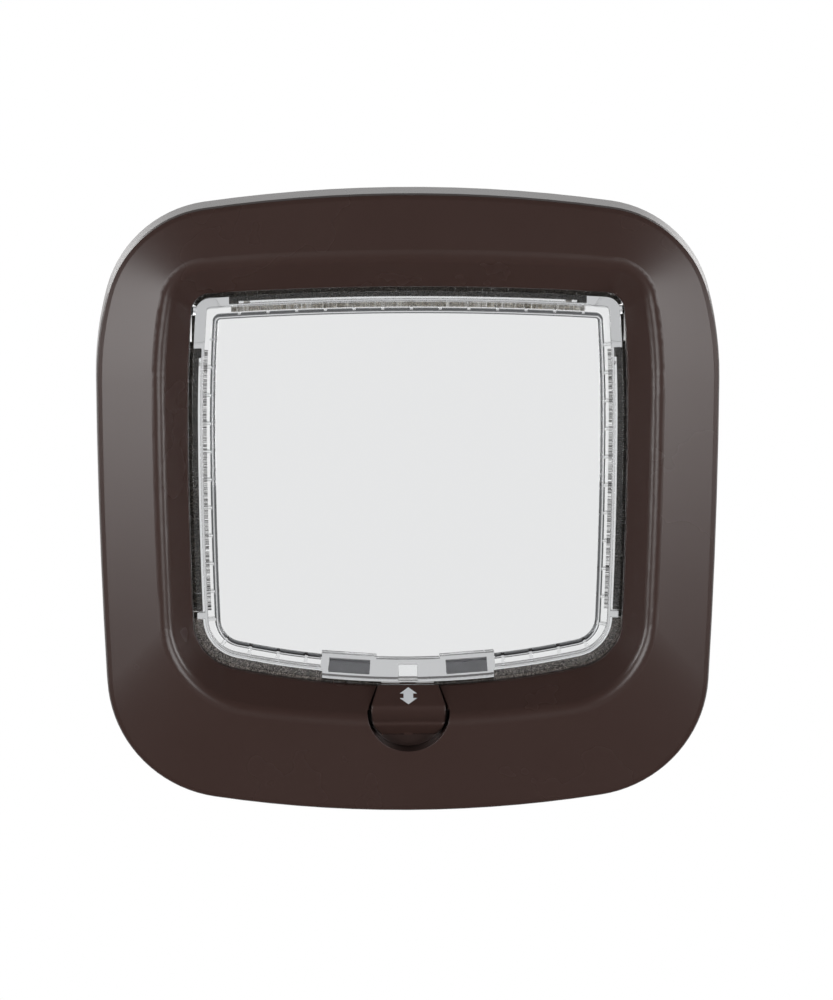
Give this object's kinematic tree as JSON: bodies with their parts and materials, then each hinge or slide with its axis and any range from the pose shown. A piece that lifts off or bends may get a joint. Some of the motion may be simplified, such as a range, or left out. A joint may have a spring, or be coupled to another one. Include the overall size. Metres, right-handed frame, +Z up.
{
  "type": "pet door",
  "caption": "Pet door with moulded frames for both faces of a door leaf, a clear flap that swings both ways on a top hinge, draught pile, closing magnets and a sliding lock.",
  "frame": {"origin": "on the face of the interior frame that lies on the door's inner face, on the centre line, at the height of the frame's middle", "axes": "+Z up, +Y from the room through the door to the outside, +X to the right seen from the room"},
  "size_m": [0.2948, 0.0618, 0.2988],
  "materials": {
    "brown_plastic": "satin moulded",
    "clear_plastic": "clear polished",
    "pile": "woven pile",
    "magnet": "sintered",
    "screw_steel": "zinc plated"
  },
  "bodies": {
    "frame": {"interior_frame": "brown_plastic", "exterior_frame": "brown_plastic", "frame_screws": "screw_steel", "left_hinge_retainer": "brown_plastic", "right_hinge_retainer": "brown_plastic", "left_sill_magnet": "magnet", "right_sill_magnet": "magnet"},
    "flap": {"flap_panel": "clear_plastic", "left_flap_magnet": "magnet", "right_flap_magnet": "magnet", "left_hinge_pin": "clear_plastic", "right_hinge_pin": "clear_plastic", "top_pile_strip": "pile", "left_pile_strip": "pile", "right_pile_strip": "pile", "lower_left_pile_strip": "pile", "lower_right_pile_strip": "pile"},
    "lock": {"lock_slider": "brown_plastic"}
  },
  "joints": [
    {"name": "flap_swing", "type": "hinge", "parent": "frame", "child": "flap", "pos_m": [0, -0.0044, 0.088], "axis": [1, 0, 0], "range_deg": [-90, 90]},
    {"name": "lock_slide", "type": "slide", "parent": "frame", "child": "lock", "axis": [0, 0, 1], "range_m": [0, 0.007]}
  ]
}
